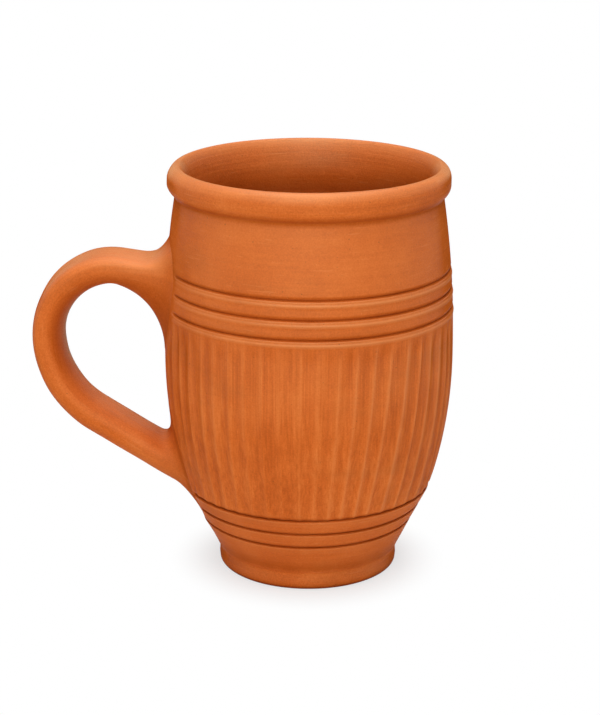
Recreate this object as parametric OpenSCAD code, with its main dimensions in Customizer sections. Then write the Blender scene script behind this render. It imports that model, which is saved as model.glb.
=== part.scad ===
// Clay kulhad cup with a strap handle. Millimetres, +Z up.
// The origin is on the cup's axis, at the face it rests on. The handle lies along -X.

/* [Cup] */
// Height from the resting face to the top of the rim
cup_h = 110; // [100:1:130]
// Widest outside diameter
belly_d = 77; // [75:0.2:86]
// Height of the widest place
belly_z = 59; // [56:0.5:68]
// Outside diameter where the belly turns into the straight taper
hip_d = 66.2; // [62:0.2:70]
// Height of that turn
hip_z = 23; // [21:0.5:27]
// Thickness of the clay wall
wall = 4.6; // [3.5:0.1:6]

/* [Rim] */
// Outside diameter of the rim bead
rim_d = 73.5; // [68:0.5:75]
// How far the bead stands out from the wall below it
bead_out = 1.7; // [0.8:0.05:2]
// Upright side of the bead between its two roundings
bead_side = 1.65; // [0.25:0.05:3]

/* [Foot] */
// Outside diameter at the crease above the foot
foot_d = 49.4; // [46:0.2:52]
// Outside diameter of the foot just above its rounded edge
base_d = 48.2; // [42:0.2:52]
// Height of the foot
foot_h = 6; // [5:0.5:8]
// Rounding of the foot's lower edge
foot_round = 1.2; // [0.6:0.1:2.4]
// Height of the floor's upper face above the wall's seat on the foot
floor_rise = 1.1; // [0.4:0.1:3]
// Rounding inside, between floor and wall
heel_r = 5; // [2:0.5:8]

/* [Grooves] */
// Turned grooves in the upper and in the lower group
groove_count = 3; // [1:1:3]
// Width of a groove
groove_w = 1.5; // [0.8:0.1:2]
// Depth of a groove
groove_depth = 0.8; // [0.3:0.1:1.5]
// Plain neck between the bead and the first groove
neck_h = 19.1; // [15:0.1:22]
// Spacing of the upper grooves
upper_pitch = 5.05; // [3.5:0.05:6]
// Spacing of the lower grooves, the first of which marks the hip
lower_pitch = 4.55; // [3:0.05:5]

/* [Flutes] */
// Flutes around the belly
flute_count = 50; // [24:1:56]
// Width of a flute
flute_w = 3.4; // [2:0.1:3.6]
// Depth of a flute
flute_depth = 0.4; // [0.2:0.05:0.8]
// Plain strip between the last upper groove and the flutes
flute_gap = 1.6; // [1:0.1:6]

/* [Handle] */
// Width of the strap, side to side
strap_w = 17; // [10:0.5:20]
// Thickness of the strap
strap_t = 8.2; // [6:0.1:11]
// Squareness of the strap's section, 2 is an ellipse
strap_square = 2.8; // [2:0.1:4]
// Room for the fingers between the belly and the strap
finger_gap = 26.7; // [22:0.1:36]
// Height of the strap's middle at the top of its bend
handle_z = 82.4; // [76:0.1:86]
// Radius of the upper bend, at the middle of the strap
upper_bend_r = 18.2; // [15:0.1:20]
// Radius of the lower bend, at the middle of the strap
lower_bend_r = 27.6; // [22:0.1:30]
// Angle at which the strap rises from the wall
rise_a = 5; // [0:1:10]
// Angle at which the lower arm falls towards the wall
fall_a = 32.2; // [28:0.1:38]
// Fillet above the upper root
upper_root_top_r = 6; // [3:0.5:9]
// Fillet below the upper root
upper_root_under_r = 16.5; // [8:0.5:18]
// Fillet in the crotch of the lower root
lower_root_top_r = 8.5; // [2:0.5:9]
// Fillet below the lower root
lower_root_under_r = 3.5; // [2:0.5:7]
// Fillet beside the upper root
upper_root_side_r = 5; // [3:0.5:9]
// Fillet beside the lower root
lower_root_side_r = 3.5; // [1:0.5:6]

/* [Slip] */
// Thickness of the slip that bonds the handle to the wall
slip_t = 0.6; // [0.3:0.1:1.2]
// Clearance between the slip and the wall
slip_clear = 0.1; // [0.05:0.05:0.3]

/* [Hidden] */

clay = "#C96A33";
pale_clay = "#D37A43";
dark_clay = "#B55A28";
slip_clay = "#BF6530";
// Facets of a turned circle, of a long arc and of a flute's cutter, and how far a cut runs past a face
round_fn = 180;
arc_fn = 720;
cut_fn = 48;
past = 1;

belly_r = belly_d / 2;
hip_r = hip_d / 2;
foot_r = foot_d / 2;
base_r = base_d / 2;

// The bead: its inside is flush with the wall's, and its outside overhangs the neck
rim_r = rim_d / 2;
neck_r = rim_r - bead_out;
bead_r = (wall + bead_out) / 2;
bead_mid_r = rim_r - bead_r;
bead_top_z = cup_h - bead_r;
bead_low_z = bead_top_z - bead_side;
seat_z = bead_low_z - sqrt(pow(bead_r, 2) - pow(bead_r - bead_out, 2));

// The belly's two arcs are upright where they meet. A radius below zero bows in instead of out.
function arc_radius(rise, run) = (pow(rise, 2) + pow(run, 2)) / (2 * run);
upper_arc_r = arc_radius(seat_z - belly_z, belly_r - neck_r);
lower_arc_r = arc_radius(belly_z - hip_z, belly_r - hip_r);

// The straight taper from the hip to the foot, and its inside, set in by the wall
taper_run = (hip_r - foot_r) / (hip_z - foot_h);
taper_a = atan(taper_run);
function taper_at(z, inset) = foot_r + taper_run * (z - foot_h) - inset / cos(taper_a);

// The heel's rounding ends on the floor's edge, which also bounds the foot ring
floor_z = foot_h + floor_rise;
heel_reach = heel_r / tan((90 + taper_a) / 2);
heel_corner_r = taper_at(floor_z, wall);
floor_r = heel_corner_r - heel_reach;

// Outside radius of the plain wall at a height
function belly_at(z, radius) =
    belly_r - radius + sign(radius) * sqrt(pow(radius, 2) - pow(z - belly_z, 2));
function outer_at(z) =
    z >= belly_z ? belly_at(z, upper_arc_r) : min(belly_at(z, lower_arc_r), taper_at(z, 0));

// Share of a groove's width that lies below its tip
groove_below = 0.75;
upper_groove_z = [for (i = [0 : groove_count - 1]) seat_z - neck_h - i * upper_pitch];
lower_groove_z = [for (i = [0 : groove_count - 1]) hip_z - i * lower_pitch];
flute_top_z = upper_groove_z[groove_count - 1] - flute_gap;
flute_cut_r = (pow(flute_w / 2, 2) + pow(flute_depth, 2)) / (2 * flute_depth);
flute_path_r = abs(lower_arc_r - flute_depth + flute_cut_r);
flute_top_a = asin((flute_top_z - belly_z) / abs(lower_arc_r));
flute_low_a = asin((hip_z - belly_z) / abs(lower_arc_r));

// The strap's middle line: a rising arm, an upper bend, a lower bend and a falling arm
strap_x = -(belly_r + finger_gap + strap_t / 2);
bend_z = handle_z - upper_bend_r;
upper_bend_mid = [strap_x + upper_bend_r, 0, bend_z];
lower_bend_mid = [strap_x + lower_bend_r, 0, bend_z];
function heading(a) = [cos(a), 0, sin(a)];
upper_arm = upper_bend_mid + upper_bend_r * heading(90 - rise_a);
upper_way = heading(-rise_a);
lower_arm = lower_bend_mid + lower_bend_r * heading(270 - fall_a);
lower_way = heading(-fall_a);

// Distance from a point, along a way, to the plain wall
function off_wall(p) = norm([p.x, p.y]) - outer_at(p.z);
function wall_reach(p, way, near, far, tries) =
    let (mid = (near + far) / 2)
    tries == 0 ? mid
    : off_wall(p + mid * way) > 0 ? wall_reach(p, way, mid, far, tries - 1)
    : wall_reach(p, way, near, mid, tries - 1);
reach_tries = 30;
arm_most = finger_gap * 2;
function reach(p, way) = wall_reach(p, way, 0, arm_most, reach_tries);

// The strap's section: a superellipse of sides points, as [outward, sideways] shares
sides = 24;
function rounded(c) = sign(c) * pow(abs(c), 2 / strap_square);
section = [for (i = [0 : sides - 1]) [rounded(cos(i * 360 / sides)), rounded(sin(i * 360 / sides))]];
function flare(gap, radius) = gap >= radius ? 0 : radius - sqrt(pow(radius, 2) - pow(radius - gap, 2));
function outward(way, turn) = turn * [-way.z, 0, way.x];

// Place of a section's point at a distance along the strap from the wall, as [outward, sideways].
// fillets are the radii on the strap's outer, inner and side faces.
function face_at(s, gap, fillets) = s[0] * (strap_t / 2 + flare(gap, s[0] > 0 ? fillets[0] : fillets[1]));
function side_at(s, gap, fillets) = s[1] * (strap_w / 2 + flare(gap, fillets[2]));

// A ring of the root, which follows the wall's shape more the nearer it is
function root_ring(arm, way, turn, fillets, gap, share) =
    let (span = reach(arm, way), follow = pow(max(0, 1 - gap / span), 2))
    [for (s = section)
        let (
            across = face_at(s, gap, fillets) * outward(way, turn) + [0, side_at(s, gap, fillets), 0],
            p = arm + share * across,
            run = (1 - follow) * span + follow * reach(p, way) - gap
        )
        p + run * way];

// A ring of a bend, at an angle around the bend's middle
function bend_ring(mid, radius, a, gap, fillets) =
    [for (s = section)
        mid + (radius + face_at(s, gap, fillets)) * heading(a) + [0, side_at(s, gap, fillets), 0]];
function arc_length(radius, a) = radius * a * PI / 180;

cap_shares = [0.1, 0.4, 0.7];
root_steps = 12;
bend_steps = 12;
upper_fillets = [upper_root_top_r, upper_root_under_r, upper_root_side_r];
lower_fillets = [lower_root_under_r, lower_root_top_r, lower_root_side_r];

// Gaps of the root's rings, closer together near the wall
function root_gaps(span) = [for (i = [0 : root_steps - 1]) slip_t + (span - slip_t) * pow(i / root_steps, 2)];
function backwards(list) = [for (i = [len(list) - 1 : -1 : 0]) list[i]];

// A closed skin over rings of the same number of points, in order from one end to the other
module skin(rings) {
    count = len(rings);
    around = len(rings[0]);
    points = [for (ring = rings) each ring];
    first = [for (i = [1 : around - 2]) [0, i, i + 1]];
    end = (count - 1) * around;
    last = [for (i = [1 : around - 2]) [end, end + i + 1, end + i]];
    between = [for (k = [0 : count - 2], i = [0 : around - 1])
        let (a = k * around + i, b = k * around + (i + 1) % around)
        each [[a, a + around, b], [b, a + around, b + around]]];
    polyhedron(points = points, faces = concat(first, between, last));
}

// Half outline between two heights whose side is one of the belly's arcs, set in from the outside
module bowed(radius, low, high, inset) {
    mid_r = belly_r - radius;
    if (radius > 0)
        intersection() {
            translate([mid_r, belly_z])
                circle(r = radius - inset, $fn = arc_fn);
            translate([0, low])
                square([belly_d, high - low]);
        }
    else
        difference() {
            translate([0, low])
                square([mid_r, high - low]);
            translate([mid_r, belly_z])
                circle(r = inset - radius, $fn = arc_fn);
        }
}

// Half outline of the barrel, from the foot's top to the bead's seat, set in from the outside
module barrel(inset) {
    bowed(upper_arc_r, belly_z, seat_z, inset);
    intersection() {
        bowed(lower_arc_r, foot_h, belly_z, inset);
        polygon([
            [0, foot_h],
            [taper_at(foot_h, inset), foot_h],
            [taper_at(belly_z, inset), belly_z],
            [0, belly_z]
        ]);
    }
}

// Half outline of the space inside, down to the floor, with a rounded heel
module inside_outline() {
    heel_mid = [floor_r, floor_z + heel_r];
    difference() {
        union() {
            barrel(wall);
            translate([0, seat_z])
                square([neck_r - wall, past]);
        }
        square([belly_d, floor_z]);
        difference() {
            polygon([
                [heel_corner_r, floor_z],
                [heel_corner_r + heel_reach * sin(taper_a), floor_z + heel_reach * cos(taper_a)],
                heel_mid,
                [floor_r, floor_z]
            ]);
            translate(heel_mid)
                circle(r = heel_r, $fn = round_fn);
        }
    }
}

// A turned groove, undercut on its upper side
module groove(z) {
    tip_r = outer_at(z) - groove_depth;
    spread = (groove_depth + past) / groove_depth;
    rotate_extrude($fn = round_fn)
        polygon([
            [tip_r, z],
            [tip_r + groove_depth + past, z - spread * groove_w * groove_below],
            [tip_r + groove_depth + past, z + spread * groove_w * (1 - groove_below)]
        ]);
}

// A flute along the belly's lower arc
module flute(a) {
    rotate([0, 0, a])
        translate([belly_r - lower_arc_r, 0, belly_z])
            mirror([lower_arc_r < 0 ? 1 : 0, 0, 0])
                rotate([90, 0, 0])
                    rotate([0, 0, flute_low_a])
                        rotate_extrude(angle = flute_top_a - flute_low_a, $fn = arc_fn)
                            translate([flute_path_r, 0])
                                circle(r = flute_cut_r, $fn = cut_fn);
}

module cup_wall() {
    color(clay)
        difference() {
            rotate_extrude($fn = round_fn)
                difference() {
                    barrel(0);
                    inside_outline();
                    square([floor_r, floor_z]);
                }
            for (z = concat(upper_groove_z, lower_groove_z))
                groove(z);
            for (i = [0 : flute_count - 1])
                flute(i * 360 / flute_count);
        }
}

module rim_bead() {
    color(pale_clay)
        rotate_extrude($fn = round_fn)
            intersection() {
                union() {
                    translate([bead_mid_r, bead_top_z])
                        circle(r = bead_r, $fn = round_fn);
                    translate([bead_mid_r, bead_low_z])
                        circle(r = bead_r, $fn = round_fn);
                    translate([bead_mid_r - bead_r, bead_low_z])
                        square([2 * bead_r, bead_side]);
                    translate([bead_mid_r - bead_r, seat_z])
                        square([bead_r, bead_low_z - seat_z]);
                }
                translate([0, seat_z])
                    square([rim_d, cup_h]);
            }
}

module floor_disc() {
    color(dark_clay)
        cylinder(r = floor_r, h = floor_z, $fn = round_fn);
}

module foot_ring() {
    color(clay)
        rotate_extrude($fn = round_fn) {
            translate([floor_r, 0])
                square([base_r - foot_round - floor_r, foot_round]);
            intersection() {
                translate([base_r - foot_round, foot_round])
                    circle(r = foot_round, $fn = round_fn);
                translate([base_r - foot_round, 0])
                    square(foot_round);
            }
            polygon([
                [floor_r, foot_round],
                [base_r, foot_round],
                [foot_r, foot_h],
                [floor_r, foot_h]
            ]);
        }
}

module handle() {
    upper_span = reach(upper_arm, upper_way);
    lower_span = reach(lower_arm, lower_way);
    upper_turn = 90 + rise_a;
    lower_turn = 90 - fall_a;
    upper_bend = [for (i = [0 : bend_steps - 1])
        let (turned = upper_turn * i / bend_steps, gap = upper_span + arc_length(upper_bend_r, turned))
        bend_ring(upper_bend_mid, upper_bend_r, 180 - upper_turn + turned, gap, upper_fillets)];
    lower_bend = [for (i = [0 : bend_steps])
        let (turned = lower_turn * i / bend_steps, left = arc_length(lower_bend_r, lower_turn - turned))
        bend_ring(lower_bend_mid, lower_bend_r, 180 + turned, lower_span + left, lower_fillets)];
    color(pale_clay)
        skin(concat(
            [for (share = cap_shares) root_ring(upper_arm, upper_way, 1, upper_fillets, slip_t, share)],
            [for (gap = root_gaps(upper_span)) root_ring(upper_arm, upper_way, 1, upper_fillets, gap, 1)],
            upper_bend,
            lower_bend,
            [for (gap = backwards(root_gaps(lower_span)))
                root_ring(lower_arm, lower_way, -1, lower_fillets, gap, 1)],
            [for (share = backwards(cap_shares))
                root_ring(lower_arm, lower_way, -1, lower_fillets, slip_t, share)]
        ));
}

// A pad of slip from the wall to the handle's root, feathered out on the wall
module slip(arm, way, turn, fillets) {
    shares = concat(cap_shares, [1]);
    rings = concat(
        [for (share = shares) root_ring(arm, way, turn, fillets, slip_clear, share)],
        [for (share = backwards(shares)) root_ring(arm, way, turn, fillets, slip_t, share)]
    );
    color(slip_clay)
        skin(turn > 0 ? rings : backwards(rings));
}

module upper_slip() {
    slip(upper_arm, upper_way, 1, upper_fillets);
}

module lower_slip() {
    slip(lower_arm, lower_way, -1, lower_fillets);
}

cup_wall();
rim_bead();
floor_disc();
foot_ring();
handle();
upper_slip();
lower_slip();
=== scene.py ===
import math
from typing import NamedTuple

import bpy
import numpy as np
from mathutils import Matrix, Vector


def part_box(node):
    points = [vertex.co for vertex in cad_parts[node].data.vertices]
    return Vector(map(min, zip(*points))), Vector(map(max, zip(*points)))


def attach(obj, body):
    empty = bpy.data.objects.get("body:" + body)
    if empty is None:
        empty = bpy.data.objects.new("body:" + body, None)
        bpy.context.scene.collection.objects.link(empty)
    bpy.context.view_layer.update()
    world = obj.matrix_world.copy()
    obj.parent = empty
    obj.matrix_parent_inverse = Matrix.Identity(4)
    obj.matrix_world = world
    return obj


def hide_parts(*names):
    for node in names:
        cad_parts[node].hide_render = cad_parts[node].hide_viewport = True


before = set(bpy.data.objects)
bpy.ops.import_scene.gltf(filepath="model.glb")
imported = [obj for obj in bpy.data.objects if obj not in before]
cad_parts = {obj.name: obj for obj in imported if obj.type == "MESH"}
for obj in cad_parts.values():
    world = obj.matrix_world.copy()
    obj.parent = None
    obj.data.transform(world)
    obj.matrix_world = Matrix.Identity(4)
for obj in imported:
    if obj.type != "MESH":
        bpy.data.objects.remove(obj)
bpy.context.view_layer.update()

# Sizes are in millimetres, and meshes are written in metres
MM = 0.001
SEED = 7


def node_box(name):
    """Lowest and highest corner of a CAD node, in millimetres."""
    return [np.array(corner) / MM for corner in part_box(name)]


# Sizes that the frame gives
rim_low, rim_high = node_box("rim_bead")
wall_low, wall_high = node_box("cup_wall")
floor_high = node_box("floor_disc")[1]
handle_low = node_box("handle")[0]
CUP_H = rim_high[2]
RIM_R = rim_high[1]
SEAT_Z = rim_low[2]
BELLY_R = wall_high[1]
FOOT_H = wall_low[2]
FLOOR_R = floor_high[1]
FLOOR_Z = floor_high[2]

# Sizes of the thrown wall that no box shows
WALL = 4.6
BELLY_Z = 59.0
HIP_R = 33.1
HIP_Z = 23.0
HEEL_R = 5.0
# How far the wall's clay lies inside the plain barrel
WALL_INSET = 0.05
# Inside, the wall is thinner near the mouth: by how much, and how far down
MOUTH_THIN = 1.0
THIN_DEPTH = 7
# Unevenness of the throwing: swells of the neck and the hip, waves around the wall, and rings inside
NECK_LEFT = 0.27
HIP_SWELL = 0.22
WALL_UNEVEN = 0.05
THROWING_RING = 0.09
# Heights over which the neck's swell starts, and the hip's starts and ends
NECK_RISE = (80, 86)
HIP_RISE, HIP_END = (9, 14), (28, 22)

# Rim bead: its overhang, upright side and crest, and the fillet in the crease below it
BEAD_OUT = 1.7
BEAD_R = (WALL + BEAD_OUT) / 2
BEAD_SIDE = 1.65
NECK_R = RIM_R - BEAD_OUT
CREST_R = 34.5
RIM_FILLET = 1.1
# How far the inside's curve follows the level crest, and the wall's slope at the seat
CREST_PULL = 1.3
SEAT_PULL = 3.0
# Unevenness of the rim: a swell all around, one on the handle's side, and waves
RIM_SWELL = 0.1
RIM_LEFT = 0.5
RIM_UNEVEN = 0.08

# Foot: radii of its top and base, rounding of its lower edge, height of its waist, the cove under the
# taper, how far its side is drawn in, and its waves
FOOT_R = 24.7
BASE_R = 24.0
FOOT_ROUND = 1.2
WAIST_Z = 3.6
FOOT_COVE = 1.0
FOOT_PULL = 0.65
FOOT_UNEVEN = 0.05

# Floor: height and turns of the spiral that throwing leaves, how far the middle is dished, and how far
# the whole face lies below the solid's
SPIRAL_H = 0.14
SPIRAL_TURNS = 4
DISHED = 0.15
FLOOR_INSET = 0.02

# Grooves: height of each tip, and the shape of the cut
NECK_H = 19.1
UPPER_STEP, LOWER_STEP = 5.05, 4.55
UPPER_GROOVES = [SEAT_Z - NECK_H - UPPER_STEP * i for i in range(3)]
LOWER_GROOVES = [HIP_Z - LOWER_STEP * i for i in range(3)]
GROOVE_DEPTH = 0.55
GROOVE_TOP = 1.1
GROOVE_LOW = 0.4
# Clay pushed out below a groove: where the swell starts, is highest and ends, below the tip
LIP_START, LIP_CREST, LIP_END = 0.8, 1.35, 2.4
LIP_H = 0.16
EDGE_H = 0.03
# The lower grooves are cut deeper, and push out less clay
LOW_CUT = 1.25
LOW_SWELL = 0.15
# How much a groove's depth changes around the cup
GROOVE_UNEVEN = 0.15

# Flutes: how many, how deep, where they end, and how far a rib may be worn down
FLUTES = 50
FLUTE_COLUMNS = 12
FLUTE_DEPTH = 0.4
FLUTE_TOP = 71.6
FLUTE_FADE = 5.0
FLUTE_LOW = HIP_Z
RIDGE_WEAR = 0.12
# Each flute has its own share of the depth, place of its deepest line, and upper end
DEPTH_SHARES = (0.65, 1.25)
DEEPEST_AT = (0.38, 0.62)
TOP_SPREAD = 0.9
# How far the flutes wander, in long and in short waves, and how far each leans, in radians
WANDER, FINE_WANDER = 0.011, 0.006
EACH_LEAN = 0.018
# Heights where the streaks along the flutes end above, and where they are full
STREAK_END, STREAK_FULL = 73, 69
# On one side of the cup the flutes lean: radians for each millimetre of height, where, and how far around
LEAN = 0.0024
LEAN_AT = math.radians(-52)
LEAN_HALF = math.radians(32)

# Strap of the handle, and its section above and below: how square the outer half is, how far the widest
# line lies outwards, and how much thicker the inner half is
STRAP_W = 17.0
STRAP_T = 8.2
INNER_SQUARE = 2.2
UPPER_SECTION = np.array([3.3, 0.2, 0.03])
LOWER_SECTION = np.array([2.5, -0.1, 0.08])
# The strap's way: height of its top, its bends, and how its arms slope
HANDLE_Z = 82.4
UPPER_BEND_R = 18.2
LOWER_BEND_R = 27.6
RISE = math.radians(5)
FALL = math.radians(32.2)
# Roots: fillets of the outer face, the inner face and the sides, how square the prints are, and the slip
UPPER_FILLETS = (7.0, 16.5, 5.0)
LOWER_FILLETS = (3.5, 8.5, 3.5)
ROOT_SQUARE = 2.3
SLIP_T = 0.6
ROOT_SINK = 0.3
# Unevenness of the pulled strap
STRAP_DENT = 0.1
UPPER_DIP = 0.9
UPPER_BULGE = 0.2

# How dark the painted shade is in hollows and creases, along the foot's lower edge, inside the cup and
# the handle's loop, and at the roots, with 1 as in a groove
CREASE_SHADE = 0.8
COVE_SHADE = 0.45
BASE_SHADE = 1.6
PRINT_SHADE = 0.15
INSIDE_SHADE = 0.6
# Painted shade on the half of the cup's inside away from the handle, up to the crest
SIDE_SHADE = 0.45
LOOP_SHADE = 0.55
UPPER_ROOT_SHADE, LOWER_ROOT_SHADE = 0.05, 0.6
# Painted highlight on lips, ribs and crest, and painted sheen near the roots, with 1 as on a groove's lip
EDGE_PALE, LOW_EDGE_PALE = 0.5, 0.85
RIB_PALE = 0.55
CREST_PALE = 0.5
UPPER_ROOT_PALE, LOWER_ROOT_PALE = 0.75, 0.45


def smooth(x, low, high):
    """Smooth step from 0 at low to 1 at high."""
    t = np.clip((np.asarray(x, float) - low) / (high - low), 0, 1)
    return t * t * (3 - 2 * t)


def circle(columns):
    """Even angles around the axis."""
    return np.arange(columns) * 2 * np.pi / columns


def handle_side(angle):
    """Grows to 1 towards the handle, and is 0 on the half of the cup away from it."""
    return np.maximum(0, -np.cos(angle))


def waves(angle, counts, seed):
    """A smooth hand-made unevenness around the axis, between about -1 and 1."""
    draw = np.random.RandomState(seed)
    total = np.zeros_like(angle)
    for count in counts:
        total += draw.uniform(0.5, 1) * np.sin(count * angle + draw.uniform(0, 2 * np.pi))
    return total / len(counts)


# The plain barrel: two arcs that are upright at the belly, and a straight taper to the foot


def arc_radius(rise, run):
    """Radius of an arc that starts upright, and runs in by run over a height of rise."""
    return (rise**2 + run**2) / (2 * run)


UPPER_ARC = arc_radius(SEAT_Z - BELLY_Z, BELLY_R - NECK_R)
LOWER_ARC = arc_radius(BELLY_Z - HIP_Z, BELLY_R - HIP_R)
TAPER = (HIP_R - FOOT_R) / (HIP_Z - FOOT_H)
SLOPE = math.atan(TAPER)


def barrel_r(z, inset=0.0):
    """Radius of the plain wall at a height, set in from the outside."""
    z = np.asarray(z, float)
    arc = np.where(z >= BELLY_Z, UPPER_ARC, LOWER_ARC)
    bowed = BELLY_R - arc + np.sqrt((arc - inset) ** 2 - (z - BELLY_Z) ** 2)
    taper = FOOT_R + TAPER * (z - FOOT_H) - inset * math.hypot(1, TAPER)
    return np.where(z >= BELLY_Z, bowed, np.minimum(bowed, taper))


def inside_r(z):
    """Radius of the wall's inside."""
    return barrel_r(z, WALL) + MOUTH_THIN * np.clip(1 - (SEAT_Z - z) / THIN_DEPTH, 0, 1) ** 2


# The fillet of the crease touches the bead's lower rounding and the neck
NECK_FACE = NECK_R - WALL_INSET
BEAD_MID = RIM_R - BEAD_R
BEAD_LOW = CUP_H - BEAD_R - BEAD_SIDE
FILLET_MID = NECK_FACE + RIM_FILLET
CREASE_Z = BEAD_LOW - math.sqrt((BEAD_R + RIM_FILLET) ** 2 - (FILLET_MID - BEAD_MID) ** 2)

# The cove above the foot touches the taper and the foot's side
FOOT_FACE = FOOT_R - WALL_INSET
FOOT_SIDE = FOOT_R - FOOT_PULL
COVE_MID = FOOT_SIDE + FOOT_COVE
COVE_TOP = FOOT_H - (FOOT_FACE - COVE_MID + FOOT_COVE * math.cos(SLOPE)) / TAPER
COVE_Z = COVE_TOP - FOOT_COVE * math.sin(SLOPE)

# The strap's middle line: a rising arm, an upper bend, a lower bend and a falling arm


def heading(a):
    """Direction at an angle in the handle's plane."""
    return np.array([math.cos(a), 0, math.sin(a)])


STRAP_X = handle_low[0] + STRAP_DENT + STRAP_T / 2
BEND_Z = HANDLE_Z - UPPER_BEND_R
UPPER_MID = np.array([STRAP_X + UPPER_BEND_R, 0, BEND_Z])
LOWER_MID = np.array([STRAP_X + LOWER_BEND_R, 0, BEND_Z])
SIDEWAYS = np.array([0, 1, 0])


class Root:
    """One root of the handle: where its arm starts, its way to the wall, its fillets and its section."""

    def __init__(self, arm, way, turn, fillets, form):
        self.arm = arm
        self.way = way
        self.fillets = fillets
        self.form = form
        self.out = turn * np.array([-way[2], 0, way[0]])
        self.span = float(self.reach(arm[None])[0])

    def reach(self, points):
        """Distance from points, along the way, to the plain wall."""
        near = np.zeros(len(points))
        far = np.full(len(points), 2 * BELLY_R)
        for _ in range(40):
            mid = (near + far) / 2
            p = points + mid[:, None] * self.way
            outside = np.hypot(p[:, 0], p[:, 1]) > barrel_r(p[:, 2])
            near = np.where(outside, mid, near)
            far = np.where(outside, far, mid)
        return near

    def level(self, points):
        """1 on the edge of the root's print on the wall, less inside it and more outside."""
        out = (points - self.arm) @ self.out
        half_out = STRAP_T / 2 + np.where(out > 0, self.fillets[0], self.fillets[1])
        half_side = STRAP_W / 2 + self.fillets[2]
        up = np.abs(out / half_out) ** ROOT_SQUARE
        across = np.abs(points[:, 1] / half_side) ** ROOT_SQUARE
        return np.where(points[:, 0] < 0, (up + across) ** (1 / ROOT_SQUARE), np.inf)


UPPER_ROOT = Root(
    arm=UPPER_MID + UPPER_BEND_R * heading(math.pi / 2 - RISE),
    way=heading(-RISE),
    turn=1,
    fillets=UPPER_FILLETS,
    form=UPPER_SECTION,
)
LOWER_ROOT = Root(
    arm=LOWER_MID + LOWER_BEND_R * heading(1.5 * math.pi - FALL),
    way=heading(-FALL),
    turn=-1,
    fillets=LOWER_FILLETS,
    form=LOWER_SECTION,
)

# Meshes

# Edges that turn by more than this are shaded sharp
SHARP = math.radians(50)


def make_piece(name, points, faces, material, attributes, normals=None):
    """A smooth mesh object from points in millimetres."""
    mesh = bpy.data.meshes.new(name)
    mesh.from_pydata((points * MM).tolist(), [], faces)
    mesh.shade_smooth()
    for key, values in attributes.items():
        kind, field = ("FLOAT", "value") if values.ndim == 1 else ("FLOAT_VECTOR", "vector")
        made = mesh.attributes.new(key, kind, "POINT")
        made.data.foreach_set(field, values.astype(np.float32).ravel())
    if normals is None:
        mesh.set_sharp_from_angle(angle=SHARP)
    else:
        mesh.normals_split_custom_set_from_vertices(normals.tolist())
    mesh.materials.append(material)
    piece = bpy.data.objects.new(name, mesh)
    bpy.context.scene.collection.objects.link(piece)
    return piece


def grid_faces(rows, columns, closed_rows):
    """Quads of a grid whose columns close on themselves, and whose rows may."""
    row = np.arange(rows if closed_rows else rows - 1)[:, None] * columns
    next_row = (row + columns) % (rows * columns)
    column = np.arange(columns)[None, :]
    next_column = (column + 1) % columns
    corners = (row + column, row + next_column, next_row + next_column, next_row + column)
    return np.stack(corners, axis=-1).reshape(-1, 4).tolist()


def capped_faces(rows, columns):
    """Faces of an open grid, turned over, with one face over each end."""
    faces = [face[::-1] for face in grid_faces(rows, columns, False)]
    first = list(range(columns))
    last = list(range((rows - 1) * columns, rows * columns))
    return faces + [first, last[::-1]]


def turned(radius, height, angle):
    """Points of a turned grid."""
    radius, height, angle = np.broadcast_arrays(radius, height, angle)
    return np.stack([radius * np.cos(angle), radius * np.sin(angle), height], axis=-1).reshape(-1, 3)


def steps(low, high, step):
    """Even heights from low up to but not including high, about step apart."""
    return list(np.linspace(low, high, max(2, round((high - low) / step) + 1))[:-1])


# Painted shade


def crease_shade(z):
    """Painted shade in the crease under the rim."""
    return CREASE_SHADE * np.exp(-((z - SEAT_Z - 0.4) ** 2))


def cove_shade(z):
    """Painted shade in the cove above the foot, which fades slowly up the taper."""
    darkest = FOOT_H + 0.3
    return COVE_SHADE * np.exp(-(((z - darkest) / np.where(z < darkest, 0.8, 2.4)) ** 2))


def inside_shade(z, angle):
    """Painted shade inside the cup: all around below the rim, and up to the crest on one side."""
    side = SIDE_SHADE * smooth(np.cos(angle), 0.3, 0.95) * smooth(z, FLOOR_Z, BELLY_Z)
    return INSIDE_SHADE * smooth(z, SEAT_Z + 1, SEAT_Z - 5) + side * smooth(z, CUP_H - 1, SEAT_Z)


# The wall


def groove_cut(drop):
    """Depth of a groove at a distance below its tip: a rounded shoulder above, a steep side below."""
    above = np.clip(1 + drop / GROOVE_TOP, 0, 1) ** 1.8
    below = np.clip(1 - drop / GROOVE_LOW, 0, 1)
    return GROOVE_DEPTH * np.where(drop < 0, above, below)


def groove_lip(drop):
    """The clay pushed aside below a groove: a fine edge and a soft swell, each up to 1."""
    edge = smooth(drop, 0.3, 0.6) * smooth(drop, 1.0, 0.65)
    swell = smooth(drop, LIP_START, LIP_CREST) * smooth(drop, LIP_END, LIP_CREST)
    return edge, swell


def cut_grooves(z, around):
    """Depth of the grooves, height of their lips, and the painted highlight on the lips."""
    groove, lip, pale = (np.zeros((len(z), len(around))) for _ in range(3))
    # The lower lips' painted highlight is broken into dashes
    dashes = 0.75 + 0.35 * waves(around, (23, 37, 50, 61), SEED + 5)
    for k, tip in enumerate(UPPER_GROOVES + LOWER_GROOVES):
        upper = tip > BELLY_Z
        strength = 1 if upper else LOW_CUT
        strength = strength * (1 + GROOVE_UNEVEN * waves(around, (2, 5, 9), SEED + 10 + k))
        edge, swell = groove_lip(tip - z)
        swell = swell * strength * (1 - 0.5 * handle_side(around)) * (1 if upper else LOW_SWELL)
        groove += groove_cut(tip - z) * strength
        lip += EDGE_H * edge * strength + LIP_H * swell
        # Painted highlight on each lip's edge and swell
        pale += (EDGE_PALE if upper else LOW_EDGE_PALE * dashes) * edge + swell
    return groove, lip, pale


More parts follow.
